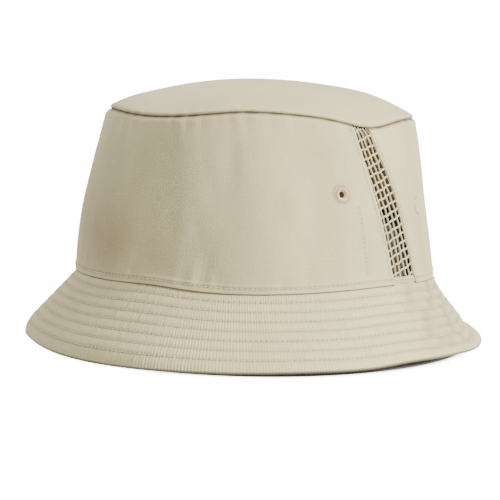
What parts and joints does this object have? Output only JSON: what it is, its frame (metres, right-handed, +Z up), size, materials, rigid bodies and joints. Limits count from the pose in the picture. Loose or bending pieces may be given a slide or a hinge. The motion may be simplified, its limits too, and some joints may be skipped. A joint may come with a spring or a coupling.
{
  "type": "bucket hat",
  "caption": "Khaki twill bucket hat with a domed oval tip, leaning mesh side vents, sewn eyelets and a short stitched down-sloping brim.",
  "frame": {"origin": "centre of the brim's edge, on the surface that the hat stands on", "axes": "+Z up through the tip, -Y towards the front of the hat, +X towards the wearer's left side"},
  "size_m": [0.232, 0.258, 0.1338],
  "materials": {
    "twill": "matte cotton twill",
    "thread": "polished cotton sewing thread",
    "eyelet_thread": "satin stitched thread",
    "mesh": "knitted polyester mesh",
    "interlining": "stiff bonded nonwoven",
    "sweatband": "soft cotton twill band",
    "tape": "bias cut cotton tape",
    "label": "smooth woven satin, blank"
  },
  "bodies": {
    "hat": {"tip_panel": "twill", "side_panel_front": "twill", "side_panel_back": "twill", "brim_upper_front": "twill", "brim_upper_back": "twill", "brim_under_front": "twill", "brim_under_back": "twill", "mesh_vent_left": "mesh", "mesh_vent_right": "mesh", "brim_interlining": "interlining", "sweatband": "sweatband", "tip_seam_tape": "tape", "brim_stitch_row_1": "thread", "brim_stitch_row_2": "thread", "brim_stitch_row_3": "thread", "brim_stitch_row_4": "thread", "brim_stitch_row_5": "thread", "brim_stitch_row_6": "thread", "brim_stitch_row_7": "thread", "crown_base_stitch": "thread", "vent_stitch_front_left": "thread", "vent_stitch_back_left": "thread", "vent_stitch_front_right": "thread", "vent_stitch_back_right": "thread", "eyelet_front_left": "eyelet_thread", "eyelet_back_left": "eyelet_thread", "eyelet_front_right": "eyelet_thread", "eyelet_back_right": "eyelet_thread", "label_tab": "label"},
    "care_label": {"care_label": "label"}
  },
  "joints": [
    {"name": "label_hinge", "type": "hinge", "parent": "hat", "child": "care_label", "pos_m": [0, 0.09344, 0.06345], "axis": [-1, 0, 0], "range_deg": [0, 150]}
  ]
}
